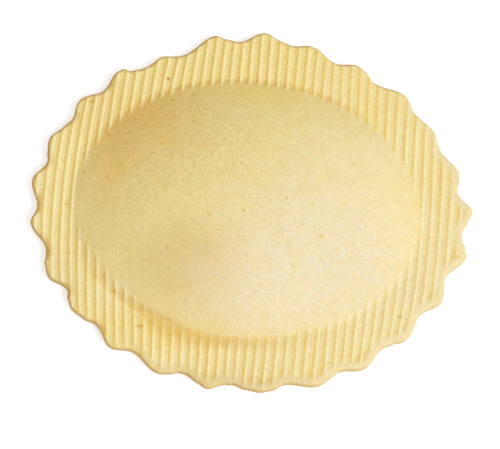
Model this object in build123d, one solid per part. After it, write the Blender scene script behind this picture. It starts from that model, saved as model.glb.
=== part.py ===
from build123d import *
from math import acos, cos, degrees, pi, radians, sin, sqrt
from numpy import interp
import os

# Oval stuffed pasta: two sheets of dough pressed together round a mound of filling.
# The origin is the middle of the flat underside, +X runs along the oval and +Z is up. Millimetres.

# The oval that runs through the middle of the scallops
oval_length = 67.8
oval_width = 56.6

# The two sheets of dough
top_sheet_thickness = 1.1
bottom_sheet_thickness = 1.1
top_edge_bevel = 0.5
bottom_edge_bevel = 0.35

# The dome, where its outside meets the rim, and the height of its crown above the rim
dome_length = 54.2
dome_width = 41.4
dome_height = 8.8
dome_wall = 1.1
dome_crease_radius = 0.8
# The dome is the cap of a ball, this many degrees from its crown to its rim, stretched to the sizes above
dome_cap_angle = 48

# The ribs pressed across the rim, with their roots sunk in the dough so that they grow out of it
rib_pitch = 1.52
rib_row_shift = 0.35
rib_height = 0.32
rib_crest_width = 0.3
rib_root_width = 0.85
rib_root_depth = 0.2
rib_edge_gap = 0.6
rib_bow = 0.8

# The filling stands clear of the dome's inside by this much
filling_clearance = 0.25

# Each scallop, anticlockwise from the right end: the angle of its tip round the oval in degrees and its
# reach as a share of the oval, then the same for the notch that follows it
scallop_shares = [
    (5, 1.045, 11.5, 0.985),
    (18.5, 1.015, 26.5, 0.975),
    (33.5, 1.0, 40.5, 0.98),
    (47.5, 1.015, 56, 0.97),
    (63, 1.01, 68.5, 0.97),
    (77, 1.02, 82, 1.0),
    (89.5, 1.055, 96.5, 0.995),
    (103, 1.04, 113, 0.96),
    (119, 0.985, 123.5, 0.97),
    (131.5, 1.02, 139.5, 0.97),
    (146.5, 1.015, 152.5, 0.98),
    (161, 1.02, 169, 0.985),
    (175.5, 1.03, 183.5, 0.995),
    (189, 1.03, 197.5, 0.98),
    (207, 1.02, 212.5, 0.97),
    (219, 1.01, 227.5, 0.975),
    (234.5, 1.02, 240.5, 0.975),
    (249, 1.02, 255.5, 0.975),
    (262.5, 1.025, 269, 0.98),
    (276.5, 1.02, 283.5, 0.985),
    (291.5, 1.025, 298.5, 0.985),
    (305, 1.02, 312.5, 0.975),
    (320, 1.01, 328.5, 0.97),
    (335, 1.015, 343, 0.975),
    (351, 1.035, 358, 0.995),
]

rim_angles = [angle for scallop in scallop_shares for angle in (scallop[0], scallop[2])]
rim_shares = [share for scallop in scallop_shares for share in (scallop[1], scallop[3])]

# Heights above the underside, and the hollow under the dome
seam_height = bottom_sheet_thickness
rim_height = seam_height + top_sheet_thickness
cavity_length = dome_length - 2 * dome_wall
cavity_width = dome_width - 2 * dome_wall
cavity_height = top_sheet_thickness + dome_height - dome_wall


def scalloped_face(height, inset=0):
    """The wavy outline of the sheets as a face at a height, drawn in by an inset."""
    half_length = oval_length / 2 - inset
    half_width = oval_width / 2 - inset
    points = []
    for angle, share in zip(rim_angles, rim_shares):
        x = half_length * share * cos(radians(angle))
        y = half_width * share * sin(radians(angle))
        points.append(Vector(x, y, height))
    # At each point the edge runs parallel to the line from the point before it to the point after it
    before = points[-1:] + points[:-1]
    after = points[1:] + points[:1]
    tangents = [ahead - behind for behind, ahead in zip(before, after)]
    return make_face(Spline(*points, tangents=tangents, periodic=True))


def oval_cap(half_length, half_width, height, base_height):
    """A domed solid on a flat oval base: the cap of a ball, stretched."""
    ball_radius = 1 / sin(radians(dome_cap_angle))
    ball_drop = ball_radius * cos(radians(dome_cap_angle))
    cap = Pos(0, 0, -ball_drop) * Sphere(ball_radius)
    cap = split(cap, bisect_by=Plane.XY, keep=Keep.TOP)
    cap_height = ball_radius - ball_drop
    return Pos(0, 0, base_height) * scale(cap, by=(half_length, half_width, height / cap_height))


def dough_slab(thickness, bevel, direction):
    """A flat sheet of dough, full size at the seam and bevelled round its free face."""
    shoulder_height = seam_height + direction * (thickness - bevel)
    free_height = seam_height + direction * thickness
    sections = [
        scalloped_face(seam_height),
        scalloped_face(shoulder_height),
        scalloped_face(free_height, bevel),
    ]
    return loft(sections, ruled=True)


def rib_end(place, side):
    """How far across the oval a rib runs on one side (1 or -1): up to a gap inside the scalloped edge."""
    angle = side * degrees(acos(place / (oval_length / 2)))
    reach_share = interp(angle, rim_angles, rim_shares, period=360)
    along_share = (abs(place) + rib_root_width / 2) / (oval_length / 2 - rib_edge_gap)
    return side * (oval_width / 2 - rib_edge_gap) * sqrt(reach_share**2 - along_share**2)


def rib_face(place, width, height):
    """The plan of one rib at a height: a narrow strip across the oval, bowed away from its middle."""
    bow = rib_bow * sin(pi * place / (oval_length / 2))
    near, far = rib_end(place, -1), rib_end(place, 1)
    left, right = place - width / 2, place + width / 2
    outline = [
        Line((left, far, height), (right, far, height)),
        Spline((right, far, height), (right + bow, 0, height), (right, near, height)),
        Line((right, near, height), (left, near, height)),
        Spline((left, near, height), (left + bow, 0, height), (left, far, height)),
    ]
    return make_face(outline)


def rim_ribs():
    """The row of ribs, as far along the oval as a rib has room inside the notches."""
    root_height = rim_height - rib_root_depth
    crest_height = rim_height + rib_height
    row_end = (oval_length / 2 - rib_edge_gap) * min(rim_shares) - rib_root_width / 2
    count = int(oval_length / rib_pitch)
    places = [rib_row_shift + rib_pitch * (number - (count - 1) / 2) for number in range(count)]
    ribs = []
    for place in places:
        if abs(place) < row_end:
            root = rib_face(place, rib_root_width, root_height)
            crest = rib_face(place, rib_crest_width, crest_height)
            ribs.append(loft([root, crest], ruled=True))
    return ribs


def build_top_sheet():
    """The upper sheet: a flat rim, the dome over the filling, and the ribs across the rim."""
    sheet = dough_slab(top_sheet_thickness, top_edge_bevel, 1)
    sheet += oval_cap(dome_length / 2, dome_width / 2, dome_height, rim_height)
    crease = sheet.edges().filter_by_position(Axis.Z, rim_height, rim_height).sort_by(SortBy.LENGTH)[0]
    sheet = fillet(crease, dome_crease_radius)
    sheet += rim_ribs()
    return sheet - oval_cap(cavity_length / 2, cavity_width / 2, cavity_height, seam_height)


def build_filling():
    """The mound of stuffing, which sits on the lower sheet and stays just clear of the dome."""
    half_length = cavity_length / 2 - filling_clearance
    half_width = cavity_width / 2 - filling_clearance
    return oval_cap(half_length, half_width, cavity_height - filling_clearance, seam_height)


pieces = {
    "top_sheet": build_top_sheet(),
    "bottom_sheet": dough_slab(bottom_sheet_thickness, bottom_edge_bevel, -1),
    "filling": build_filling(),
}

os.makedirs("parts", exist_ok=True)
for name, shape in pieces.items():
    export_step(shape, f"parts/{name}.step")
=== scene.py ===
from math import cos, pi, radians, sin

import bmesh
import bpy
import numpy as np
from mathutils import Matrix, Vector, noise
from mathutils.geometry import delaunay_2d_cdt
from mathutils.kdtree import KDTree


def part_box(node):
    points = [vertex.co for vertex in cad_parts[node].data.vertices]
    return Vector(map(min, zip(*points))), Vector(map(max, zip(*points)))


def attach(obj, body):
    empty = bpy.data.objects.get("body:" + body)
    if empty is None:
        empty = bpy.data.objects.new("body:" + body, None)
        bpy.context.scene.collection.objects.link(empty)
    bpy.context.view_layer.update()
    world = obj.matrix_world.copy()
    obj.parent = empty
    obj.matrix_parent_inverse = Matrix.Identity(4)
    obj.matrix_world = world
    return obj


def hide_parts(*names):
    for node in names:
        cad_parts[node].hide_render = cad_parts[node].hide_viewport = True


# An oval piece of stuffed pasta: two sheets of egg dough pressed together round a mound of filling.
# Lengths are in millimetres until a mesh is made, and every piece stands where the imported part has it.
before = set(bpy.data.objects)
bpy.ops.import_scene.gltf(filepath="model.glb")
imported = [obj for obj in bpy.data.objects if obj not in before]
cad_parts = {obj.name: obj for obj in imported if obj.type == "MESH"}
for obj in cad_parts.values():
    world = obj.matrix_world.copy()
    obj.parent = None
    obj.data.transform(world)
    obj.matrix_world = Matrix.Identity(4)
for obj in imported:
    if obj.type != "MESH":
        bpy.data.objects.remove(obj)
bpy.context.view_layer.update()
mm = 0.001


# The lower sheet
# A disc of rolled egg dough, a little over a millimetre thick, that the filling is laid on. A wavy cutter
# stamps it out together with the upper sheet, so both have the same cut edge, with its nicks and nubs.
_, lower_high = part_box("bottom_sheet")
seam_height = lower_high.z / mm

# The oval through the middle of the scallops
oval_half_length = 33.9
oval_half_width = 28.3

# How many points go round the cut edge, and how many are first drawn between a tip and a notch. The edge is
# moved inwards in short steps and smoothed a few times after each.
edge_points = 1500
curve_points = 60
inward_step = 0.08
inward_smoothings = 3

# How rough the cutter left the edge, and how long its small waves are
edge_roughness = 0.05
edge_wave_length = 1.1

# Each scallop, anticlockwise from the right end: the angle of its tip in degrees and its reach as a share
# of the oval, then the same for the notch that follows it
scallop_shares = [
    (5, 1.045, 11.5, 0.985),
    (18.5, 1.015, 26.5, 0.975),
    (33.5, 1.0, 40.5, 0.98),
    (47.5, 1.015, 56, 0.97),
    (63, 1.01, 68.5, 0.97),
    (77, 1.02, 82, 1.0),
    (89.5, 1.055, 96.5, 0.995),
    (103, 1.04, 113, 0.96),
    (119, 0.985, 123.5, 0.97),
    (131.5, 1.02, 139.5, 0.97),
    (146.5, 1.015, 152.5, 0.98),
    (161, 1.02, 169, 0.985),
    (175.5, 1.03, 183.5, 0.995),
    (189, 1.03, 197.5, 0.98),
    (207, 1.02, 212.5, 0.97),
    (219, 1.01, 227.5, 0.975),
    (234.5, 1.02, 240.5, 0.975),
    (249, 1.02, 255.5, 0.975),
    (262.5, 1.025, 269, 0.98),
    (276.5, 1.02, 283.5, 0.985),
    (291.5, 1.025, 298.5, 0.985),
    (305, 1.02, 312.5, 0.975),
    (320, 1.01, 328.5, 0.97),
    (335, 1.015, 343, 0.975),
    (351, 1.035, 358, 0.995),
]

# Where the cutter tore or folded the edge: angle, half-width in degrees, and how far out in millimetres
edge_nicks = [
    (3, 2, -0.3),
    (15, 1, 0.15),
    (39.5, 1, 0.15),
    (59.5, 1.5, 0.2),
    (74.5, 2, 0.2),
    (86.5, 2, -0.35),
    (100.5, 1, -0.3),
    (109, 4, -0.12),
    (115, 40, -0.1),
    (127, 3, -0.62),
    (128.8, 0.9, -0.42),
    (130.1, 0.6, 0.2),
    (132, 4, -0.15),
    (143, 2, 0.25),
    (157.5, 1.5, -0.25),
    (166, 1.5, 0.15),
    (186.5, 2.5, -0.3),
    (190, 50, -0.1),
    (202.5, 1.2, 0.25),
    (215.5, 1, 0.2),
    (224, 1.2, 0.3),
    (252.5, 0.7, 0.15),
    (260.5, 0.8, -0.25),
    (262.5, 2, -0.05),
    (265.5, 1.2, -0.2),
    (268.5, 0.4, 0.2),
    (271.5, 2, 0.3),
    (277, 3, -0.04),
    (280.5, 1.5, 0.3),
    (296, 1, 0.15),
    (316.5, 0.8, -0.2),
    (352.5, 0.8, -0.25),
    (355.2, 0.6, -0.15),
]


def unevenness(points, size, seed):
    """Smooth noise from -1 to 1 at each point, with bumps of about the given size."""
    return np.array([noise.noise(Vector((x / size, y / size, seed))) for x, y in points])


def oval_angle(points):
    """Each point's angle round the oval, in radians."""
    return np.arctan2(points[:, 1] / oval_half_width, points[:, 0] / oval_half_length)


def oval_share(points, half_length, half_width):
    """How far out from the middle each point lies, as a share of the way to an oval's edge."""
    return np.hypot(points[:, 0] / half_length, points[:, 1] / half_width)


def smooth_path(t, start, leaving, end, arriving):
    """A smooth path from a start to an end, at t from 0 to 1, with its slopes at both."""
    return (
        (2 * t**3 - 3 * t**2 + 1) * start
        + (t**3 - 2 * t**2 + t) * leaving
        + (3 * t**2 - 2 * t**3) * end
        + (t**3 - t**2) * arriving
    )


def cut_edge():
    """The cut edge as an evenly spaced ring of points, anticlockwise."""
    angles = np.radians([angle for row in scallop_shares for angle in (row[0], row[2])])
    shares = np.array([share for row in scallop_shares for share in (row[1], row[3])])
    along = oval_half_length * shares * np.cos(angles)
    across = oval_half_width * shares * np.sin(angles)
    knots = np.stack([along, across], 1)
    # Each knot's direction is the one from the knot before it to the knot after it
    ahead, behind = np.roll(knots, -1, axis=0), np.roll(knots, 1, axis=0)
    direction = (ahead - behind) / np.linalg.norm(ahead - behind, axis=1)[:, None]
    chord = np.linalg.norm(ahead - knots, axis=1)[:, None]
    leaving, arriving = direction * chord, np.roll(direction, -1, axis=0) * chord
    steps = np.linspace(0, 1, curve_points, endpoint=False)
    curve = [smooth_path(t, knots, leaving, ahead, arriving) for t in steps]
    curve = np.stack(curve, 1).reshape(-1, 2)
    around = np.degrees(oval_angle(curve))
    push = edge_roughness * unevenness(curve, edge_wave_length, seed=3.7)
    for angle, width, reach in edge_nicks:
        off = (around - angle + 180) % 360 - 180
        push += reach * np.exp(-((off / width) ** 2))
    curve += curve / np.linalg.norm(curve, axis=1)[:, None] * push[:, None]
    closed = np.vstack([curve, curve[:1]])
    run = np.append(0, np.cumsum(np.linalg.norm(np.diff(closed, axis=0), axis=1)))
    even = np.linspace(0, run[-1], edge_points, endpoint=False)
    return np.stack([np.interp(even, run, closed[:, 0]), np.interp(even, run, closed[:, 1])], 1)


def drawn_in(ring, distance):
    """The ring moved inwards, in short smoothed steps so that it never crosses itself."""
    steps = max(1, round(distance / inward_step)) if distance else 0
    for _ in range(steps):
        along = np.roll(ring, -1, axis=0) - np.roll(ring, 1, axis=0)
        inward = np.stack([-along[:, 1], along[:, 0]], 1) / np.linalg.norm(along, axis=1)[:, None]
        ring = ring + inward * distance / steps
        for _ in range(inward_smoothings):
            ring = 0.5 * ring + 0.25 * (np.roll(ring, 1, axis=0) + np.roll(ring, -1, axis=0))
    return ring


def at_height(points, height):
    """Points of the plan with their heights."""
    return np.column_stack([points, np.broadcast_to(height, len(points))])


# The cut edge, and a tree that finds the point of it nearest to a place
edge = cut_edge()
edge_tree = KDTree(len(edge))
for number, (x, y) in enumerate(edge):
    edge_tree.insert((x, y, 0), number)
edge_tree.balance()
edge_angles = oval_angle(edge)
edge_shares = oval_share(edge, oval_half_length, oval_half_width)

# The direction that the cut edge faces at each of its points, evened out over half a millimetre
edge_run = np.roll(edge, -2, axis=0) - np.roll(edge, 2, axis=0)
edge_outward = np.stack([edge_run[:, 1], -edge_run[:, 0]], 1) / np.linalg.norm(edge_run, axis=1)[:, None]

# How deep in a notch between two scallops each point of the edge lies, in millimetres: how far it falls
# short of the edge's mean distance from the middle, over half a scallop to either side
edge_reach = np.linalg.norm(edge, axis=1)
half_scallop = edge_points // len(scallop_shares) // 2
reach_beside = [np.roll(edge_reach, shift) for shift in range(-half_scallop, half_scallop + 1)]
edge_notch = np.mean(reach_beside, axis=0) - edge_reach


def nearest_edge(points):
    """The number of the edge point nearest to each point."""
    return np.array([edge_tree.find((x, y, 0))[1] for x, y in points])


def distance_inside(points):
    """How far each point lies inside the cut edge, and less than zero outside it."""
    nearest = np.array([edge_tree.find((x, y, 0))[2] for x, y in points])
    shares = oval_share(points, oval_half_length, oval_half_width)
    limits = np.interp(oval_angle(points), edge_angles, edge_shares, period=2 * pi)
    return np.where(shares < limits, nearest, -nearest)


def even_lattice(spacing, gap):
    """A square lattice of points that stays a gap inside the cut edge."""
    reach = 1.1 * oval_half_length
    across = np.arange(-reach, reach, spacing)
    points = np.stack(np.meshgrid(across, across), -1).reshape(-1, 2)
    return points[distance_inside(points) > gap]


# When a ring is filled with triangles, only those inside it are kept, and points this close count as one
keep_inside = 1
same_point = 1e-7


def filled(ring, inner, ring_start, inner_start):
    """Triangles that fill a ring, through the inner points."""
    places = [Vector(place) for place in np.vstack([ring[:, :2], inner[:, :2]])]
    outline = list(range(len(ring)))
    result = delaunay_2d_cdt(places, [], [outline], keep_inside, same_point)
    faces, origins = result[2], result[3]
    numbers = [
        ring_start + origin[0] if origin[0] < len(ring) else inner_start + origin[0] - len(ring)
        for origin in origins
    ]
    return [[numbers[corner] for corner in face] for face in faces]


def closed_skin(rings, first_inner, last_inner):
    """Points and faces of a closed skin: a stack of rings whose first and last rings are filled."""
    count = len(rings[0])
    points = np.vstack(rings + [first_inner, last_inner])
    first_start = len(rings) * count
    last_start = first_start + len(first_inner)
    faces = []
    for number in range(len(rings) - 1):
        low, high = number * count, (number + 1) * count
        for step in range(count):
            following = (step + 1) % count
            faces.append([low + step, low + following, high + following, high + step])
    faces += filled(rings[0], first_inner, 0, first_start)
    faces += filled(rings[-1], last_inner, first_start - count, last_start)
    return points, faces


def new_piece(name, points, faces, material, masks):
    """A smooth mesh piece in metres, with a mask from 0 to 1 at each point for its material."""
    mesh = bpy.data.meshes.new(name)
    mesh.from_pydata((points * mm).tolist(), [], faces)
    shell = bmesh.new()
    shell.from_mesh(mesh)
    bmesh.ops.recalc_face_normals(shell, faces=shell.faces)
    shell.to_mesh(mesh)
    shell.free()
    mesh.polygons.foreach_set("use_smooth", [True] * len(mesh.polygons))
    for mask, values in masks.items():
        attribute = mesh.attributes.new(mask, "FLOAT", "POINT")
        attribute.data.foreach_set("value", values.astype(np.float32))
    mesh.materials.append(material)
    piece = bpy.data.objects.new(name, mesh)
    bpy.context.scene.collection.objects.link(piece)
    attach(piece, "root")
    return piece


def smooth_step(low, high, value):
    """0 up to low, 1 from high on, and a smooth rise between them."""
    t = np.clip((value - low) / (high - low), 0, 1)
    return t * t * (3 - 2 * t)


def linear(red, green, blue):
    """A colour given as it looks on a screen, from 0 to 255, as the light it sends back."""
    shares = [channel / 255 for channel in (red, green, blue)]
    return tuple(s / 12.92 if s < 0.04045 else ((s + 0.055) / 1.055) ** 2.4 for s in shares) + (1,)


def add_node(tree, kind, inputs=None, **settings):
    """A shader node with its settings, and with a value or a link for each of its named inputs."""
    node = tree.nodes.new(kind)
    for name, value in settings.items():
        setattr(node, name, value)
    for name, value in (inputs or {}).items():
        if isinstance(value, bpy.types.NodeSocket):
            tree.links.new(value, node.inputs[name])
        else:
            node.inputs[name].default_value = value
    return node


def blended(tree, amount, first, second, how="MIX"):
    """One colour laid over another by an amount."""
    inputs = {0: amount, 6: first, 7: second}
    return add_node(tree, "ShaderNodeMix", inputs, data_type="RGBA", blend_type=how).outputs[2]


def spread(tree, value, low, high, to_low=0, to_high=1):
    """A value's range from low to high eased into another range."""
    inputs = {"Value": value, "From Min": low, "From Max": high, "To Min": to_low, "To Max": to_high}
    node = add_node(tree, "ShaderNodeMapRange", inputs, interpolation_type="SMOOTHSTEP")
    return node.outputs["Result"]


def worked_out(tree, operation, *values):
    """Arithmetic on values that change over the surface."""
    inputs = dict(enumerate(values))
    return add_node(tree, "ShaderNodeMath", inputs, operation=operation).outputs[0]


def vector_worked_out(tree, operation, *vectors, **named):
    """Arithmetic on places and other vectors that change over the surface."""
    inputs = dict(enumerate(vectors)) | named
    return add_node(tree, "ShaderNodeVectorMath", inputs, operation=operation).outputs[0]


def times(tree, first, *others):
    """Values that change over the surface, multiplied together."""
    for other in others:
        first = worked_out(tree, "MULTIPLY", first, other)
    return first


def new_group(name, inputs, outputs):
    """An empty node group with named inputs and outputs, and its two end nodes."""
    group = bpy.data.node_groups.new(name, "ShaderNodeTree")
    for socket_name, kind, value in inputs:
        socket = group.interface.new_socket(socket_name, in_out="INPUT", socket_type=kind)
        socket.default_value = value
    for socket_name, kind in outputs:
        group.interface.new_socket(socket_name, in_out="OUTPUT", socket_type=kind)
    start = group.nodes.new("NodeGroupInput")
    end = group.nodes.new("NodeGroupOutput")
    return group, start, end


# The dough's grain. Each part of it is a noise: how many waves it has in a millimetre, its detail and its
# roughness, and the two values between which it comes in.
grain_noises = {
    "Clouds": (0.16, 3, 0.55, 0.3, 0.7),
    "Mottle": (0.45, 5, 0.85, 0.3, 0.7),
    "Grain": (1.9, 3, 0.85, 0.3, 0.7),
    "Pits": (2.2, 2, 0.7, 0.35, 0.7),
}

# The pits are drawn out slantwise, as the rolling pin left them
pit_slant = radians(35)
pit_squeeze = (0.55, 1, 1)


def dough_grain_group():
    """The grain of rolled egg dough: clouds of paler and deeper dough, a fine grain, and drawn-out pits."""
    group, start, end = new_group(
        "dough grain",
        [("Place", "NodeSocketVector", (0, 0, 0))],
        [(part, "NodeSocketFloat") for part in grain_noises],
    )
    place = start.outputs["Place"]
    inputs = {"Vector": place, "Angle": pit_slant}
    turned = add_node(group, "ShaderNodeVectorRotate", inputs, rotation_type="Z_AXIS").outputs[0]
    drawn = vector_worked_out(group, "MULTIPLY", turned, pit_squeeze)
    for part, (scale, detail, roughness, low, high) in grain_noises.items():
        where = drawn if part == "Pits" else place
        inputs = {"Vector": where, "Scale": scale, "Detail": detail, "Roughness": roughness}
        waves = add_node(group, "ShaderNodeTexNoise", inputs)
        group.links.new(spread(group, waves.outputs["Fac"], low, high), end.inputs[part])
    return group


def wavered(tree, place, scale, pull):
    """The place pushed about by a fine noise, so that a speck drawn there has a ragged outline."""
    waves = add_node(tree, "ShaderNodeTexNoise", {"Vector": place, "Scale": scale, "Detail": 1})
    push = vector_worked_out(tree, "SCALE", waves.outputs["Color"], Scale=pull)
    return vector_worked_out(tree, "ADD", place, push)


# Specks differ by chance: the smallest is this share of the given radius and the largest has 1 more, and
# the faintest and the darkest likewise. A speck reaches its full depth this share of the way to its middle.
smallest_speck = 0.4
faintest_speck = 0.3
speck_rim = 0.5


def bran_flecks_group():
    """Ragged specks of bran in the flour, of different sizes: a share of evenly spread places has one."""
    group, start, end = new_group(
        "bran flecks",
        [
            ("Place", "NodeSocketVector", (0, 0, 0)),
            ("Spacing", "NodeSocketFloat", 3),
            ("Share", "NodeSocketFloat", 0.4),
            ("Radius", "NodeSocketFloat", 0.12),
        ],
        [("Flecks", "NodeSocketFloat")],
    )
    spacing = start.outputs["Spacing"]
    ragged = wavered(group, start.outputs["Place"], scale=5, pull=0.25)
    inputs = {"Vector": ragged, "Scale": worked_out(group, "DIVIDE", 1, spacing), "Randomness": 1}
    cells = add_node(group, "ShaderNodeTexVoronoi", inputs, feature="F1")
    # Each cell's own colour is its luck: whether it has a speck, how large, and how dark
    luck = add_node(group, "ShaderNodeSeparateColor", {"Color": cells.outputs["Color"]}).outputs
    away = times(group, cells.outputs["Distance"], spacing)
    size = times(group, start.outputs["Radius"], worked_out(group, "ADD", luck["Green"], smallest_speck))
    speck = worked_out(group, "SUBTRACT", 1, worked_out(group, "DIVIDE", away, size))
    speck = spread(group, speck, 0, speck_rim)
    kept = worked_out(group, "LESS_THAN", luck["Red"], start.outputs["Share"])
    depth = times(group, kept, worked_out(group, "ADD", luck["Blue"], faintest_speck))
    group.links.new(times(group, speck, depth), end.inputs["Flecks"])
    return group


dough_grain = dough_grain_group()
bran_flecks = bran_flecks_group()


def new_material(name):
    """An empty material with its Principled shader, and the object's own coordinates in millimetres."""
    material = bpy.data.materials.new(name)
    material.use_nodes = True
    tree = material.node_tree
    tree.nodes.clear()
    shader = tree.nodes.new("ShaderNodeBsdfPrincipled")
    output = tree.nodes.new("ShaderNodeOutputMaterial")
    tree.links.new(shader.outputs["BSDF"], output.inputs["Surface"])
    coordinates = tree.nodes.new("ShaderNodeTexCoord")
    place = vector_worked_out(tree, "SCALE", coordinates.outputs["Object"], Scale=1 / mm)
    return material, tree, shader, place


def from_group(tree, group, **inputs):
    """A node group placed in a material, with its inputs."""
    return add_node(tree, "ShaderNodeGroup", inputs, node_tree=group).outputs


def mask_on(tree, name):
    """A mask that the mesh carries."""
    return add_node(tree, "ShaderNodeAttribute", attribute_name=name).outputs["Fac"]


def bumped(tree, shader, height, distance):
    """Raise the surface where a value is high, by up to a distance in millimetres."""
    inputs = {"Height": height, "Strength": 1, "Distance": distance * mm}
    bump = add_node(tree, "ShaderNodeBump", inputs)
    tree.links.new(bump.outputs["Normal"], shader.inputs["Normal"])


def dough_finish(tree, shader, colour, grain, roughness):
    """The finish of both sheets: matt egg dough, which lets a little light in under its skin."""
    tree.links.new(colour, shader.inputs["Base Color"])
    tree.links.new(spread(tree, grain["Mottle"], 0, 1, *roughness), shader.inputs["Roughness"])
    shader.inputs["Specular IOR Level"].default_value = 0.3
    shader.inputs["Subsurface Weight"].default_value = 0.25
    shader.inputs["Subsurface Radius"].default_value = (1, 0.5, 0.2)
    shader.inputs["Subsurface Scale"].default_value = 0.8 * mm


# The lower sheet's colours as they look on a screen, how strong its mottling and its pits are, the tint of
# the pits, its roughness from smooth to rough places, and the height of its grain
lower_deep_dough = (238, 216, 152)
lower_pale_dough = (242, 223, 168)
lower_mottling = (228, 200, 128)
lower_mottling_strength = 0.35
lower_pit_strength = 0.6
dried_dough = (214, 172, 104)
bran = (186, 132, 62)
semolina = (253, 243, 210)
lower_pit_tint = (0.88, 0.8, 0.62, 1)
lower_roughness = (0.62, 0.8)
lower_grain_height = 0.02


def lower_dough_material():
    """Matt yellow dough, drier and browner at its cut edge, with a dusting of semolina underneath."""
    material, tree, shader, place = new_material("lower dough")
    grain = from_group(tree, dough_grain, Place=place)
    colour = blended(tree, grain["Clouds"], linear(*lower_deep_dough), linear(*lower_pale_dough))
    mottling = times(tree, grain["Mottle"], lower_mottling_strength)
    colour = blended(tree, mottling, colour, linear(*lower_mottling))
    pits = times(tree, grain["Pits"], lower_pit_strength)
    colour = blended(tree, pits, colour, lower_pit_tint, "MULTIPLY")
    colour = blended(tree, mask_on(tree, "dry_edge"), colour, linear(*dried_dough))
    flecks = from_group(tree, bran_flecks, Place=place, Spacing=3, Share=0.5, Radius=0.3)
    colour = blended(tree, flecks["Flecks"], colour, linear(*bran))
    grains = from_group(tree, bran_flecks, Place=place, Spacing=0.9, Share=0.5, Radius=0.3)
    dusting = times(tree, grains["Flecks"], mask_on(tree, "dusted"))
    colour = blended(tree, dusting, colour, linear(*semolina))
    dough_finish(tree, shader, colour, grain, lower_roughness)
    bumped(tree, shader, grain["Grain"], lower_grain_height)
    return material


# Inset from the cut edge and height above the underside, from the seam down to the underside
lower_profile = [
    (0.35, seam_height),
    (0.05, seam_height),
    (0, seam_height - 0.05),
    (0.02, seam_height - 0.3),
    (0.04, 0.5),
    (0.08, 0.3),
    (0.17, 0.14),
    (0.32, 0.04),
    (0.55, 0),
    (0.9, 0),
]

# The underside is very slightly hollowed in places, from some way inside the edge. The dough has dried over
# a narrow band along the edge, and semolina clings up to these heights.
underside_hollow = 0.05
underside_margin = (1.2, 3)
dried_band = (0.05, 0.5)
dusted_heights = (0.02, 0.2)


def lower_sheet():
    """The lower sheet, flat on top and very slightly uneven underneath, where it lies on the board."""
    rings = [at_height(drawn_in(edge, inset), height) for inset, height in lower_profile]
    top = at_height(even_lattice(spacing=2, gap=1), seam_height)
    bottom = even_lattice(spacing=0.9, gap=1.3)
    hollow = underside_hollow * smooth_step(0, 0.6, unevenness(bottom, size=5, seed=1.3) + 0.1)
    bottom = at_height(bottom, hollow * smooth_step(*underside_margin, distance_inside(bottom)))
    points, faces = closed_skin(rings, top, bottom)
    plan, heights = points[:, :2], points[:, 2]
    dry = 1 - smooth_step(*dried_band, distance_inside(plan))
    dry *= np.clip(0.85 + 0.5 * unevenness(plan, size=3, seed=7.7), 0, 1)
    dusted = 1 - smooth_step(*dusted_heights, heights)
    dusted *= 0.4 + 0.6 * smooth_step(-0.4, 0.3, unevenness(plan, size=7, seed=4.1))
    masks = {"dry_edge": dry, "dusted": dusted}
    return new_piece("lower_dough", points, faces, lower_dough_material(), masks)


lower_dough = lower_sheet()
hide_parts("bottom_sheet")


# The filling
# A spoonful of soft cheese stuffing, heaped on the lower sheet and rounded by the dough drawn over it. It
# stays just clear of the dough all round, and is lumpy, with flecks of chopped herb.
filling_low, filling_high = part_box("filling")
filling_half_length = (filling_high.x - filling_low.x) / 2 / mm
filling_half_width = (filling_high.y - filling_low.y) / 2 / mm
filling_height = (filling_high.z - filling_low.z) / mm
filling_base = filling_low.z / mm
filling_top_gap = 0.05

# Its lumps, the upright foot round it, the least that it rises inside the foot, and how far out from the
# middle its heap has mesh points
filling_lump_depth = 0.45
filling_lump_size = 1.6
filling_foot_points = 240
filling_foot_height = 0.02
filling_least_height = 0.03
filling_heap_end = 0.985

# Its colours as they look on a screen, its roughness, and how high the curds stand
curd = (238, 232, 208)
whey = (226, 216, 182)
herb = (96, 118, 62)
filling_roughness = (0.4, 0.6)
curd_height = 0.15

# The mound and the dome over it are caps of a ball, this wide from the crown down, stretched to an oval.
# The ball goes on below the cap's rim, up to this share of the way out.
cap_angle = radians(48)
ball_reach = 1.25


def cap_rise(share, height):
    """How high a cap stands at a share of the way from its middle to its rim, and below zero outside it."""
    ball = 1 / sin(cap_angle)
    drop = ball * cos(cap_angle)
    return height * (np.sqrt(ball**2 - np.minimum(share, ball_reach) ** 2) - drop) / (ball - drop)


def filling_material():
    """Pale ricotta with a moist, curdy grain and flecks of green herb."""
    material, tree, shader, place = new_material("cheese filling")
    grain = from_group(tree, dough_grain, Place=place)
    colour = blended(tree, grain["Mottle"], linear(*curd), linear(*whey))
    herbs = from_group(tree, bran_flecks, Place=place, Spacing=1.8, Share=0.4, Radius=0.35)
    colour = blended(tree, herbs["Flecks"], colour, linear(*herb))
    tree.links.new(colour, shader.inputs["Base Color"])
    tree.links.new(spread(tree, grain["Grain"], 0, 1, *filling_roughness), shader.inputs["Roughness"])
    bumped(tree, shader, grain["Mottle"], curd_height)
    return material


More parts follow.
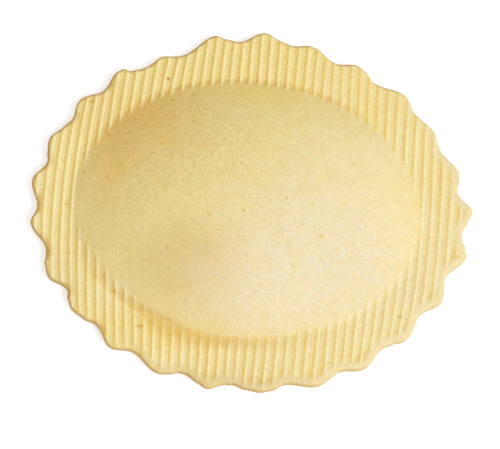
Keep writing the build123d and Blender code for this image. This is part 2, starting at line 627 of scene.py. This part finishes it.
def filling_mound():
    """The heap of filling, with its lumps pressed in from the smooth cap."""
    turn = np.linspace(0, 2 * pi, filling_foot_points, endpoint=False)
    foot = np.stack([filling_half_length * np.cos(turn), filling_half_width * np.sin(turn)], 1)
    rings = [at_height(foot, filling_base), at_height(foot, filling_base + filling_foot_height)]
    inner = even_lattice(spacing=0.6, gap=5)
    share = oval_share(inner, filling_half_length, filling_half_width)
    within = share < filling_heap_end
    inner, share = inner[within], share[within]
    lumps = 0.5 + 0.5 * unevenness(inner, filling_lump_size, seed=8.2)
    heaped = filling_base + cap_rise(share, filling_height - filling_top_gap)
    heaped -= filling_lump_depth * lumps * (1 - share**6)
    heap = at_height(inner, np.maximum(heaped, filling_base + filling_least_height))
    flat = at_height(inner[::7], filling_base)
    points, faces = closed_skin(rings, flat, heap)
    return new_piece("filling_mound", points, faces, filling_material(), {})


mound = filling_mound()
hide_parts("filling")


# The upper sheet
# The sheet of dough that shows. It was rolled over a ribbed board, laid over the filling and pressed flat
# round it, which left a smooth dome, a ribbed rim, and a soft bevel where the cutter pinched the edge.
_, upper_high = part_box("top_sheet")
crown_clearance = 0.03
crown_height = upper_high.z / mm - crown_clearance
rim_thickness = 1.1
rim_height = seam_height + rim_thickness
dome_rise = crown_height - rim_height
dome_half_length = 27.6
dome_half_width = 20.85
dome_wall = 1.1
dome_along = -0.45
dome_across = 0.2

# How softly the dome runs into the rim: crisp in most places, and soft on the far left
crisp_crease = 0.2
soft_crease = 0.7

# The ribs: their pitch, the place of one of them, and the shape of a rib and the hollow land beside it
rib_pitch = 1.52
rib_place = 1.3
rib_height = 0.175
rib_left_foot = 0.54
rib_right_foot = 0.46
land_hollow = 0.04

# Where the line of painted shade on a rib's left flank, turned from the lamp, and the line of painted light
# on its right flank, which faces the lamp, run beside the middle of a rib, and how wide each is
shaded_rib_line = -0.22
shaded_rib_width = 0.2
lit_rib_line = 0.26
lit_rib_width = 0.17

# How the ribs drift from their even places: place along the oval, then the shift in millimetres and the
# lean in degrees at the middle of the rim's far side, and the same on its near side
rib_drift = [
    (-31, -0.2, 2.5, -0.1, -3.5),
    (-28, -0.35, 3, -0.1, -5),
    (-26, -0.2, 4, 0.1, -6),
    (-22, -0.1, 3.5, 0.4, -5.5),
    (-18, 0.05, 4, 0.5, -6),
    (-14, 0.27, 7.5, 0.46, -3.4),
    (-9, 0.25, 3, 0.45, -3),
    (-5, 0.12, 2, 0.25, 0),
    (-1, -0.03, 0, 0.1, -0.3),
    (3, -0.07, 0, -0.09, 2.5),
    (8, -0.1, 2, 0, 1.6),
    (11, -0.2, 1, 0.05, 2.6),
    (14, -0.36, -1.3, 0.1, 0.8),
    (18, -0.44, -0.7, -0.2, 3),
    (22, -0.32, -0.1, -0.39, 5.4),
    (26, -0.17, -0.4, -0.37, 5.4),
    (28, -0.1, -1.7, -0.23, 3.2),
    (31, -0.06, 0, -0.28, 2.3),
]

# Stretches of the rim where the dough was pressed, worn or left in its own way, or where painted light or
# shade lies. Each is an angle round the oval, then how many degrees to either side it holds in full, and how
# many until it is gone.
rim_stretches = {
    "soft crease": (165, 0, 85),
    "hollow": (248, 12, 61),
    "wider hollow": (250, 6, 18),
    "narrower hollow": (225, 8, 14),
    "higher hollow": (236, 6, 16),
    "far hollow": (92, 28, 50),
    "flattened ribs": (270, 30, 48),
    "low ribs": (-40, 20, 120),
    "worn ribs": (58, 8, 32),
    "climbing ribs": (217, 9, 24),
    "fainter shade line": (-15, 10, 60),
    "wide bevel": (-45, 30, 130),
    "bare lip": (-47, 50, 95),
    "ribbed lip": (275, 3, 6),
    "lip foot": (-47, 45, 66),
    "crease shade spill": (150, 0, 75),
    "lit lip": (-25, 50, 85),
    "near lip": (265, 10, 35),
}

# How much of their height the ribs lose where they are low, flattened or worn
low_loss = 0.55
flattened_loss = 0.85
worn_loss = 0.45

# The bevel that the cutter left, as its width and depth. It is steep on the left, and wide and smooth on
# the side that the cutter came down on first. In the notches on the left it is wider by some more.
steep_bevel = (0.5, 0.45)
wide_bevel = (1.0, 0.26)
left_widening = 0.4

# The directions, in degrees, that the cut edge faces where it turns left, where it is darkened as dried
# dough and as painted shade, away from the lamp, and where the line of the cut is widest
left_turned_direction = 188
shaded_edge_direction = 165
cut_direction = 130

# The hollow pressed into the rim just under the dome on the near side: how deep it is, and where it starts
# and ends outside the crease. At the foot of the bare lip the dough is pressed in a little too.
hollow_depth = 0.14
hollow_start = -0.5
hollow_end = 2.2
lip_foot_depth = 0.06

# The unevenness that the rolling pin left on the dome, and the finer one on all the sheet
dome_unevenness = 0.07
sheet_unevenness = 0.03

# Insets of the mesh rings down the bevel, columns of mesh points across one rib and its land, the rows
# along them, and the lattice on the dome, which begins just inside the end of the columns
bevel_insets = [0.02, 0.06, 0.14, 0.24, 0.36, 0.5, 0.66, 0.84, 1.04]
bevel_gap = 0.18
rib_columns = [-0.42, -0.32, -0.21, -0.1, 0, 0.1, 0.2, 0.31, 0.43, 0.56, 0.73, 0.92]
columns_to_side = 24
row_spacing = 0.25
columns_end = 0.94
dome_spacing = 0.45
lattice_end = 0.93

# Small bumps and dents that handling left: place, reach along and across, and height
small_marks = [
    ((-15.6, -18.8), (0.5, 0.8), 0.12),
    ((-15.7, -19.85), (0.75, 0.3), -0.15),
    ((-25.8, -6.6), (0.5, 0.7), 0.08),
    ((-26.5, 15.8), (0.6, 0.4), -0.08),
    ((24.6, -15.1), (0.5, 0.4), -0.06),
]

# Broad patches laid over the dough's colour: where each is, how far it reaches, how strong it is, and its
# colour.
# The first lie on the whole sheet and the others on the dome alone. They are partly uneven dough and partly
# painted
# light and shade: the deep tan patches on the dome's far left and far side hold painted shade where it turns
# from the lamp, and the pale patches toward the lamp on the right and near side hold painted light.
sheet_patches = [
    ((15, -7), (30, 22), 0.95, (236, 226, 199)),
    ((34, 4), (22, 36), 0.5, (243, 229, 178)),
    ((-33, 1), (8, 20), 0.5, (255, 238, 188)),
    ((-26, 15), (9, 9), 0.5, (245, 217, 147)),
    ((-26.5, 5), (5, 10), 0.8, (255, 240, 178)),
    ((-20.5, -15.5), (6, 5), 0.5, (245, 234, 202)),
    ((-10.5, -25.5), (7, 4), 0.5, (250, 238, 202)),
    ((2, -27.5), (18, 4.5), 0.78, (233, 213, 160)),
    ((5, -23.5), (17, 4.5), 0.45, (242, 228, 190)),
    ((-28.5, -14), (6, 10), 0.5, (238, 222, 186)),
    ((22, -17.5), (12, 9), 0.45, (245, 231, 184)),
    ((23, 13), (9, 9), 0.35, (248, 236, 202)),
    ((14, 21.5), (12, 8), 0.25, (250, 238, 206)),
]
dome_patches = [
    ((-20.5, 14.5), (18, 15.5), 0.75, (250, 200, 98)),
    ((-24, 5), (7, 10.5), 0.72, (252, 206, 104)),
    ((-8.5, -10.5), (13, 10), 0.75, (224, 196, 138)),
    ((-22, -10.5), (5.5, 5), 0.3, (255, 234, 168)),
    ((-11, -17.3), (9, 3), 0.4, (246, 224, 174)),
    ((3, -14), (16, 11), 0.53, (240, 229, 214)),
    ((-27, 3), (7, 16), 0.6, (255, 232, 162)),
    ((14, 10), (14, 10), 0.4, (248, 236, 198)),
    ((-2, 19), (18, 5), 0.65, (255, 226, 130)),
    ((18, -11), (11, 10), 0.4, (225, 215, 193)),
]

# Specks of bran that show: place, radius and how dark. Then come darker specks, and pale specks that are
# painted highlights on two small bumps.
large_flecks = [
    (5.5, 0.1, 0.39, 0.79),
    (15.6, 7.3, 0.39, 0.73),
    (10.8, 8.7, 0.39, 0.67),
    (13.9, 13.6, 0.36, 0.61),
    (3, 17, 0.34, 0.48),
    (-6.1, -3.4, 0.39, 0.73),
    (11.4, -5.1, 0.46, 0.8),
    (2.7, -13, 0.39, 0.67),
    (0.1, -9, 0.36, 0.61),
    (-12.3, -8.7, 0.39, 0.67),
    (-8.9, -8.6, 0.34, 0.43),
    (7.4, -10, 0.5, 0.5),
    (-0.9, -2.4, 0.42, 0.6),
    (-3.9, -18.2, 0.36, 0.48),
    (-9.6, 12.4, 0.36, 0.55),
    (-11, 14.3, 0.34, 0.43),
    (-20.3, 8.2, 0.44, 0.61),
    (-19.8, 10.3, 0.39, 0.55),
    (-14.3, 8.1, 0.39, 0.55),
    (-12.8, 12, 0.36, 0.48),
    (22, -4.7, 0.36, 0.61),
    (8.3, -3.6, 0.36, 0.48),
    (-20, -14.9, 0.47, 1),
    (-28.8, -1.5, 0.47, 0.73),
    (-27.6, -9.4, 0.36, 0.73),
    (33.2, -4.8, 0.42, 0.85),
    (29.6, 7.3, 0.36, 0.55),
    (23.5, 14.1, 0.44, 0.61),
    (26.2, 8.6, 0.36, 0.48),
    (20.7, 16.1, 0.36, 0.55),
]
dark_flecks = [
    (-14.7, 20.5, 0.4, 1),
    (-0.9, -2.4, 0.38, 0.3),
]
painted_glints = [
    (-15.6, -18, 0.32, 0.4),
    (-25.8, -6.5, 0.4, 0.4),
]


# How often a point's place among the ribs is worked out afresh, each time from a closer guess
drift_rounds = 5


def rib_shift(place, across):
    """How far a rib lies from its even place, at a distance across the oval."""
    places, *drift = np.array(rib_drift).T
    far, far_lean, near, near_lean = (np.interp(place, places, values) for values in drift)
    # The middle of the rim's side lies halfway between the dome and the edge. At the oval's ends the edge is
    # taken to stay a fifth of its full way out.
    dome_side = dome_half_width * np.sqrt(np.maximum(0, 1 - (place / dome_half_length) ** 2))
    edge_side = oval_half_width * np.sqrt(np.maximum(0.04, 1 - (place / oval_half_length) ** 2))
    middle = (dome_side + edge_side) / 2
    near_slope = np.tan(np.radians(near_lean)) * 2 * middle
    far_slope = np.tan(np.radians(far_lean)) * 2 * middle
    return smooth_path((across + middle) / (2 * middle), near, near_slope, far, far_slope)


def rib_coordinate(points):
    """Where each point lies among the ribs, once their drift is taken out."""
    place = points[:, 0].copy()
    for _ in range(drift_rounds):
        place = points[:, 0] - rib_shift(place, points[:, 1])
    return place


def ribs_at(points):
    """The ribbing's height at each point, and how near it is to the painted shade on a rib's left flank and
    the painted light on its right flank.
    """
    off = (rib_coordinate(points) - rib_place + rib_pitch / 2) % rib_pitch - rib_pitch / 2
    foot = np.where(off < 0, rib_left_foot, rib_right_foot)
    rib = 1 - smooth_step(0, 1, np.abs(off) / foot)
    land = (2 * np.abs(off) / rib_pitch - 1) ** 2
    shaded_flank = np.exp(-(((off - shaded_rib_line) / shaded_rib_width) ** 2))
    lit_flank = np.exp(-(((off - lit_rib_line) / lit_rib_width) ** 2))
    return rib_height * rib + land_hollow * land, shaded_flank, lit_flank


def dome_share(points):
    """How far out from the middle of the dome each point lies, as a share of the way to its crease."""
    along = (points[:, 0] - dome_along) / dome_half_length
    across = (points[:, 1] - dome_across) / dome_half_width
    return np.hypot(along, across)


def crease_distance(points):
    """How far outside the crease round the dome each point lies."""
    share = dome_share(points)
    along = (points[:, 0] - dome_along) / dome_half_length**2
    across = (points[:, 1] - dome_across) / dome_half_width**2
    steepness = np.maximum(np.hypot(along, across), 1e-6)
    return (share - 1) * share / steepness


def round_the_rim(points):
    """How strongly each stretch of the rim holds at each point, from 0 to 1."""
    around = np.degrees(oval_angle(points))
    strengths = {}
    for name, (angle, full, gone) in rim_stretches.items():
        off = np.abs((around - angle + 180) % 360 - 180)
        strengths[name] = 1 - smooth_step(full, gone, off)
    return strengths


def edge_facing(nearest, angle):
    """How squarely the edge nearest to each point faces a direction: from 1 straight at it to -1 away."""
    return edge_outward[nearest] @ (cos(radians(angle)), sin(radians(angle)))


def pressed_hollow(on, past_crease):
    """How deep each point lies in the hollow on the near side, from 0 to 1."""
    end = hollow_end + 1.3 * on["wider hollow"] - on["narrower hollow"]
    start = hollow_start - 0.5 * on["higher hollow"]
    hollow = on["hollow"] * smooth_step(0, 0.8, past_crease - start)
    hollow *= 1 - smooth_step(0.3, 1, past_crease / end)
    return hollow


def bevel_drop(on, inset, left_turned, in_notch):
    """How far the bevel takes the surface down."""
    wide = on["wide bevel"]
    width = steep_bevel[0] + (wide_bevel[0] - steep_bevel[0]) * wide + left_widening * left_turned * in_notch
    depth = steep_bevel[1] + (wide_bevel[1] - steep_bevel[1]) * wide
    return depth * np.clip(1 - inset / width, 0, 1) ** (2 + wide)


def ribs_shown(on, rise, inset):
    """How much of the ribs shows. They end at the foot of the dome, on the bare lip and at the edge."""
    # They fade over the dome's first 0.8 millimetres, and where they climb it, from 0.6 to 1.3 up
    climbing = on["climbing ribs"]
    shown = 1 - smooth_step(0, 1, (rise - 0.6 * climbing) / (0.8 - 0.1 * climbing))
    lip = on["bare lip"] * (1 - 0.8 * on["ribbed lip"])
    shown *= 1 - lip * (1 - smooth_step(0.5, 1.5, inset))
    shown *= smooth_step(0, 0.4, inset)
    return shown


def handling_marks(points):
    """The height of the small bumps and dents."""
    marks = np.zeros(len(points))
    for middle, reach, height in small_marks:
        off = (points - middle) / reach
        marks += height * (1 - smooth_step(0.5, 1.1, np.hypot(off[:, 0], off[:, 1])))
    return marks


def upper_surface(points, inset, nearest):
    """The height of the upper sheet's outside at each point, and the masks that its material uses."""
    # Steps over the rise, the inset and the distance past the crease run between limits in millimetres
    on = round_the_rim(points)
    in_notch = smooth_step(-0.2, 0.4, edge_notch[nearest])
    left_turned = smooth_step(0.25, 0.95, edge_facing(nearest, left_turned_direction))
    rise = cap_rise(dome_share(points), dome_rise)
    crease = crisp_crease + (soft_crease - crisp_crease) * on["soft crease"]
    dome = 0.5 * (rise + np.sqrt(rise**2 + crease**2))

    # What was pressed into the rim: the near hollow, the far one, the flattened ribs and the lip's foot
    past_crease = crease_distance(points)
    hollow = pressed_hollow(on, past_crease)
    far_hollow = smooth_step(-0.35, 0.1, past_crease) * (1 - smooth_step(0.2, 1, past_crease))
    far_hollow *= on["far hollow"]
    flattened = on["hollow"] * on["flattened ribs"]
    flattened *= smooth_step(-1.5, -0.6, past_crease) * (1 - smooth_step(0.3, 2.2, past_crease))
    lip_foot = on["lip foot"] * smooth_step(0.9, 1.4, inset)
    lip_foot *= 1 - smooth_step(1.5, 2.6, inset)
    lip_foot *= 1 - in_notch

    # The ribs, lower in some places than in others, and everything together
    ribbing, shaded_flank, lit_flank = ribs_at(points)
    shown = ribs_shown(on, rise, inset)
    ribs = ribbing * shown
    ribs *= 1 - low_loss * on["low ribs"]
    ribs *= 1 - flattened_loss * flattened
    ribs *= 1 - worn_loss * on["worn ribs"]
    marks = handling_marks(points)
    uneven = dome_unevenness * unevenness(points, size=6, seed=2.1) * smooth_step(-1, 3, rise)
    uneven += sheet_unevenness * unevenness(points, size=3, seed=5.4)
    height = rim_height + dome + ribs - bevel_drop(on, inset, left_turned, in_notch) + marks + uneven
    height -= hollow_depth * hollow + lip_foot_depth * lip_foot

    # The masks, most of them painted shade or light. On the far left the dome's colours, with their painted
    # shade, reach down between the ribs as painted shade in the crease, and the edge is darkened as dried
    # dough and as painted shade and shows its cut most where it faces left and to the far side, away from
    # the lamp.
    between = 1 - 0.85 * lit_flank
    domed = smooth_step(-0.1, 0.5, rise)
    # Painted shade in the crease: the dome's tan spread down between the ribs on the far left
    glow = (1 - domed) * smooth_step(-1.6, 0.3, rise) * between * on["crease shade spill"] * 0.7
    # The edge darkens as dried dough and as painted shade, most where it faces left, away from the lamp
    facing_left = edge_facing(nearest, shaded_edge_direction)
    dried_and_shaded = np.maximum(left_turned * (0.4 + 0.6 * in_notch), 0.6 * smooth_step(0, 0.9, facing_left))
    dried_and_shaded *= 1 - smooth_step(0.25, 1, inset / (0.58 + 0.8 * left_turned * in_notch))
    # The cut line: dried dough at the very edge, with painted shade added where the edge turns from the lamp
    cut_width = 0.35 + 0.4 * smooth_step(0, 1, edge_facing(nearest, cut_direction))
    cut_line_and_shade = 1 - smooth_step(0.02, 1, inset / cut_width)
    cut_line_and_shade *= 0.25 + 0.75 * smooth_step(-1, 0.5, facing_left)
    lip = 1 - smooth_step(0.8, 1.6, inset)
    masks = {
        "on_dome": domed + glow,
        # Painted shade: the golden line on each rib's left flank, turned from the lamp, fainter on the right
        "shaded_rib_line": shaded_flank * shown * (1 - 0.3 * on["fainter shade line"]) * (1 - 0.5 * flattened),
        # Painted light: the pale line on each rib's right flank, which faces the lamp
        "lit_rib_line": lit_flank * shown * (1 - 0.8 * flattened) * (1 - 0.8 * on["worn ribs"]),
        # Painted shade in the pressed hollows just outside the dome's crease, on the near side and on the
        # far side
        "hollow": np.maximum(hollow * (1 - 0.2 * lit_flank), 0.95 * far_hollow * between),
        # Painted shade in the small dents
        "dent_shade": np.clip(-marks / 0.08, 0, 1),
        # Painted shade at the foot of the bare lip, between the ribs
        "lip_foot": lip_foot * between,
        # Painted light: a paler lip where the edge faces the lamp
        "lit_lip": on["lit lip"] * lip,
        # Painted shade on the lip's near side
        "near_lip_shade": on["near lip"] * lip,
        "dried_and_shaded_edge": dried_and_shaded,
        "cut_line_and_shade": cut_line_and_shade,
    }
    return np.minimum(height, crown_height), masks


def upper_lattice():
    """Mesh points of the upper sheet: columns along the ribs on the rim, and a lattice on the dome."""
    numbers = np.arange(-columns_to_side, columns_to_side)
    columns = (rib_place + rib_pitch * numbers[:, None] + np.array(rib_columns)[None, :]).ravel()
    reach = 1.08 * oval_half_width
    place, across = np.meshgrid(columns, np.arange(-reach, reach, row_spacing))
    rim = np.stack([place + rib_shift(place, across), across], -1).reshape(-1, 2)
    rim = rim[dome_share(rim) > columns_end]
    rim = rim[distance_inside(rim) > bevel_insets[-1] + bevel_gap]
    dome = even_lattice(dome_spacing, gap=4)
    dome = dome[dome_share(dome) < lattice_end]
    return np.vstack([rim, dome])


# A patch or speck goes straight down through the sheet: its middle is this high, and it reaches this far
# above and below it
patch_height = 8
patch_depth = 60


def soft_patch_group():
    """A patch on the dough with a soft rim: full in its middle and gone at its reach."""
    group, start, end = new_group(
        "soft patch",
        [
            ("Place", "NodeSocketVector", (0, 0, 0)),
            ("Middle", "NodeSocketVector", (0, 0, 0)),
            ("Reach", "NodeSocketVector", (1, 1, 1)),
            ("Full", "NodeSocketFloat", 0.2),
        ],
        [("Patch", "NodeSocketFloat")],
    )
    off = vector_worked_out(group, "SUBTRACT", start.outputs["Place"], start.outputs["Middle"])
    share = vector_worked_out(group, "DIVIDE", off, start.outputs["Reach"])
    length = add_node(group, "ShaderNodeVectorMath", {0: share}, operation="LENGTH").outputs["Value"]
    group.links.new(spread(group, length, start.outputs["Full"], 1, 1, 0), end.inputs["Patch"])
    return group


soft_patch = soft_patch_group()


def patch_on(tree, place, middle, reach, full):
    """How strongly a soft patch shows at each place."""
    middle, reach = (*middle, patch_height), (*reach, patch_depth)
    return from_group(tree, soft_patch, Place=place, Middle=middle, Reach=reach, Full=full)["Patch"]


# The upper sheet's own colours as they look on a screen, and what its clouds and mottling turn it to
rim_dough = (245, 226, 157)
dome_dough = (246, 227, 160)
dough_waves = [
    ("Clouds", 0.15, (246, 232, 192)),
    ("Mottle", 0.4, (236, 211, 118)),
]

# On the far left of the dome the pits and small specks are painted stronger: the middle and the reach of
# that place, and how strong its pits and small specks are elsewhere and there
far_left_place = ((-17, 11), (24, 22))
upper_pit_tint = (0.89, 0.79, 0.63, 1)
pit_strength = (0.3, 0.7)
small_fleck_tint = (0.84, 0.67, 0.4, 1)
small_fleck_strength = (0.15, 0.7)

# Painted shade, multiplied in: the golden line on each rib's left flank, the pressed hollows, the dents and
# the lip's foot, where shade falls, and the browned edge, which is dried dough and painted shade. Then
# colours laid
# over in part: painted light on each rib's right flank and on the lip that faces the lamp, painted shade on
# the near lip, and the cut line, which is dried dough and painted shade.
shade_and_dried_tints = {
    "shaded_rib_line": (1, 0.895, 0.51, 1),
    "hollow": (0.92, 0.81, 0.61, 1),
    "dent_shade": (0.88, 0.76, 0.46, 1),
    "lip_foot": (0.96, 0.89, 0.7, 1),
    "dried_and_shaded_edge": (0.88, 0.75, 0.49, 1),
}
light_shade_and_dried_colours = [
    ("lit_rib_line", 0.5, (247, 237, 198)),
    ("lit_lip", 0.35, (236, 222, 190)),
    ("near_lip_shade", 0.4, (222, 200, 138)),
    ("cut_line_and_shade", 0.95, (206, 162, 92)),
]

# The single specks have ragged outlines. The raggedness also moves them, so they are set off by this much.
fleck_offset = (0.15, 0.26)
fleck_kinds = [
    (large_flecks, (0.88, 0.74, 0.3, 1), "MULTIPLY"),
    (dark_flecks, (0.5, 0.34, 0.06, 1), "MULTIPLY"),
    # Painted highlights: pale glints laid on two small bumps
    (painted_glints, linear(252, 248, 226), "MIX"),
]

# The upper sheet's roughness from smooth to rough places, and the height of its grain
upper_roughness = (0.6, 0.78)
upper_grain_height = 0.07


def upper_dough_material():
    """Matt egg dough: yellow on the rim, paler on the dome, with painted shade and light on the ribs, in the
    hollows and on the lip, and an edge darkened as dried dough and painted shade.
    """
    material, tree, shader, place = new_material("upper dough")
    grain = from_group(tree, dough_grain, Place=place)
    on_dome = mask_on(tree, "on_dome")
    colour = blended(tree, on_dome, linear(*rim_dough), linear(*dome_dough))
    # Patches of uneven dough, partly painted shade on the far left and painted light toward the lamp
    for patches, where in ((sheet_patches, 1), (dome_patches, on_dome)):
        for middle, reach, amount, tint in patches:
            patch = patch_on(tree, place, middle, reach, full=0.1)
            colour = blended(tree, times(tree, patch, amount, where), colour, linear(*tint))
    for part, amount, tint in dough_waves:
        colour = blended(tree, times(tree, grain[part], amount), colour, linear(*tint))
    far_left = times(tree, patch_on(tree, place, *far_left_place, full=0.2), on_dome)
    pits = times(tree, grain["Pits"], spread(tree, far_left, 0, 1, *pit_strength))
    colour = blended(tree, pits, colour, upper_pit_tint, "MULTIPLY")
    for mask, tint in shade_and_dried_tints.items():
        colour = blended(tree, mask_on(tree, mask), colour, tint, "MULTIPLY")
    for mask, amount, tint in light_shade_and_dried_colours:
        colour = blended(tree, times(tree, mask_on(tree, mask), amount), colour, linear(*tint))
    small = from_group(tree, bran_flecks, Place=place, Spacing=2.1, Share=0.65, Radius=0.42)
    small = times(tree, small["Flecks"], spread(tree, far_left, 0, 1, *small_fleck_strength))
    colour = blended(tree, small, colour, small_fleck_tint, "MULTIPLY")
    ragged = wavered(tree, place, scale=4, pull=0.3)
    for flecks, tint, how in fleck_kinds:
        shown = 0
        for x, y, radius, amount in flecks:
            middle = (x + fleck_offset[0], y + fleck_offset[1])
            fleck = patch_on(tree, ragged, middle, (radius, radius), full=0.15)
            shown = worked_out(tree, "MAXIMUM", shown, times(tree, fleck, amount))
        colour = blended(tree, shown, colour, tint, how)
    dough_finish(tree, shader, colour, grain, upper_roughness)
    bumped(tree, shader, grain["Grain"], upper_grain_height)
    return material


# The rings of the cut edge, from the hollow inside up: the insets of those on the seam, the rounding just
# above it, and how far up the edge the next ones stand
seam_insets = (0.35, 0.05)
seam_rounding = 0.05
wall_shares = (0.4, 0.75)


def upper_sheet():
    """The upper sheet: its hollow underside, its cut edge, the band of the bevel, and the rim and dome."""
    inside = even_lattice(spacing=1, gap=0.9)
    inside_share = oval_share(inside, dome_half_length - dome_wall, dome_half_width - dome_wall)
    hollow = np.maximum(0, cap_rise(inside_share, dome_rise + rim_thickness - dome_wall))
    inside = at_height(inside, seam_height + hollow)
    edge_numbers = np.arange(len(edge))
    edge_top, _ = upper_surface(edge, np.zeros(len(edge)), edge_numbers)
    wall = edge_top - seam_height
    rings = [at_height(drawn_in(edge, inset), seam_height) for inset in seam_insets]
    rings.append(at_height(edge, seam_height + seam_rounding))
    rings += [at_height(edge, seam_height + share * wall) for share in wall_shares]
    for inset in bevel_insets:
        ring = drawn_in(edge, inset)
        height, _ = upper_surface(ring, np.full(len(ring), inset), edge_numbers)
        rings.append(at_height(ring, height))
    top = upper_lattice()
    top_height, _ = upper_surface(top, distance_inside(top), nearest_edge(top))
    points, faces = closed_skin(rings, inside, at_height(top, top_height))
    plan = points[:, :2]
    _, masks = upper_surface(plan, distance_inside(plan), nearest_edge(plan))
    return new_piece("upper_dough", points, faces, upper_dough_material(), masks)


upper_dough = upper_sheet()
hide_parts("top_sheet")


# The table
# A plain white sheet under the pasta. It shows white to the camera and in reflections, and still takes the
# pasta's soft shadow.
table_size = 6
table_white = (0.8, 0.8, 0.8, 1)
table_glow = 0.45


def looked_at(tree):
    """1 for what is seen straight, in a reflection or through glass, and 0 for other light."""
    rays = tree.nodes.new("ShaderNodeLightPath").outputs
    seen = worked_out(tree, "MAXIMUM", rays["Is Camera Ray"], rays["Is Glossy Ray"])
    return worked_out(tree, "MAXIMUM", seen, rays["Is Transmission Ray"])


def table_material():
    """Matt white, with a little glow of its own for whatever looks at it."""
    material = bpy.data.materials.new("white table")
    material.use_nodes = True
    tree = material.node_tree
    tree.nodes.clear()
    matt = add_node(tree, "ShaderNodeBsdfDiffuse", {"Color": table_white})
    glow = add_node(tree, "ShaderNodeEmission", {"Strength": times(tree, looked_at(tree), table_glow)})
    both = add_node(tree, "ShaderNodeAddShader", {0: matt.outputs[0], 1: glow.outputs[0]})
    add_node(tree, "ShaderNodeOutputMaterial", {"Surface": both.outputs[0]})
    return material


bpy.ops.mesh.primitive_plane_add(size=table_size)
table = bpy.context.object
table.name = "table"
table.data.materials.append(table_material())


# Studio light
# A large soft lamp low on the right and a little in front, and an even white surround, which lights the
# pasta less than it shows.
lamp_azimuth = radians(-30)
lamp_elevation = radians(50)
lamp_distance = 0.6
lamp_width = 0.3
lamp_power = 1.92
surround_strength = 0.63
white = (1, 1, 1, 1)

lamp_data = bpy.data.lights.new("soft lamp", "AREA")
lamp_data.shape = "DISK"
lamp_data.size = lamp_width
lamp_data.energy = lamp_power
lamp = bpy.data.objects.new("soft lamp", lamp_data)
bpy.context.scene.collection.objects.link(lamp)
toward_lamp = Vector((
    cos(lamp_elevation) * cos(lamp_azimuth),
    cos(lamp_elevation) * sin(lamp_azimuth),
    sin(lamp_elevation),
))
lamp.location = toward_lamp * lamp_distance
lamp.rotation_euler = toward_lamp.to_track_quat("Z", "Y").to_euler()

world = bpy.data.worlds.new("white surround")
bpy.context.scene.world = world
world.use_nodes = True
sky = world.node_tree
sky.nodes.clear()
fill = add_node(sky, "ShaderNodeBackground", {"Color": white, "Strength": surround_strength}).outputs[0]
backdrop = add_node(sky, "ShaderNodeBackground", {"Color": white, "Strength": 1}).outputs[0]
surround = add_node(sky, "ShaderNodeMixShader", {0: looked_at(sky), 1: fill, 2: backdrop})
add_node(sky, "ShaderNodeOutputWorld", {"Surface": surround.outputs[0]})


# Camera
# Almost straight above the pasta, a little to the near side, and turned so that the oval dips to the right.
camera_distance = 0.35
camera_tilt = radians(14)
camera_roll = radians(4.63)
camera_target = Vector((0.00024, -0.00172, 0))
camera_lens = 158.9
camera_sensor = 36
camera_data = bpy.data.cameras.new("camera")
camera_data.lens = camera_lens
camera_data.sensor_width = camera_sensor
camera = bpy.data.objects.new("camera", camera_data)
bpy.context.scene.collection.objects.link(camera)
above = camera_target + camera_distance * Vector((0, -sin(camera_tilt), cos(camera_tilt)))
turn = Matrix.Rotation(camera_tilt, 4, "X") @ Matrix.Rotation(camera_roll, 4, "Z")
camera.matrix_world = Matrix.Translation(above) @ turn
bpy.context.scene.camera = camera
bpy.context.scene.view_settings.view_transform = "Standard"
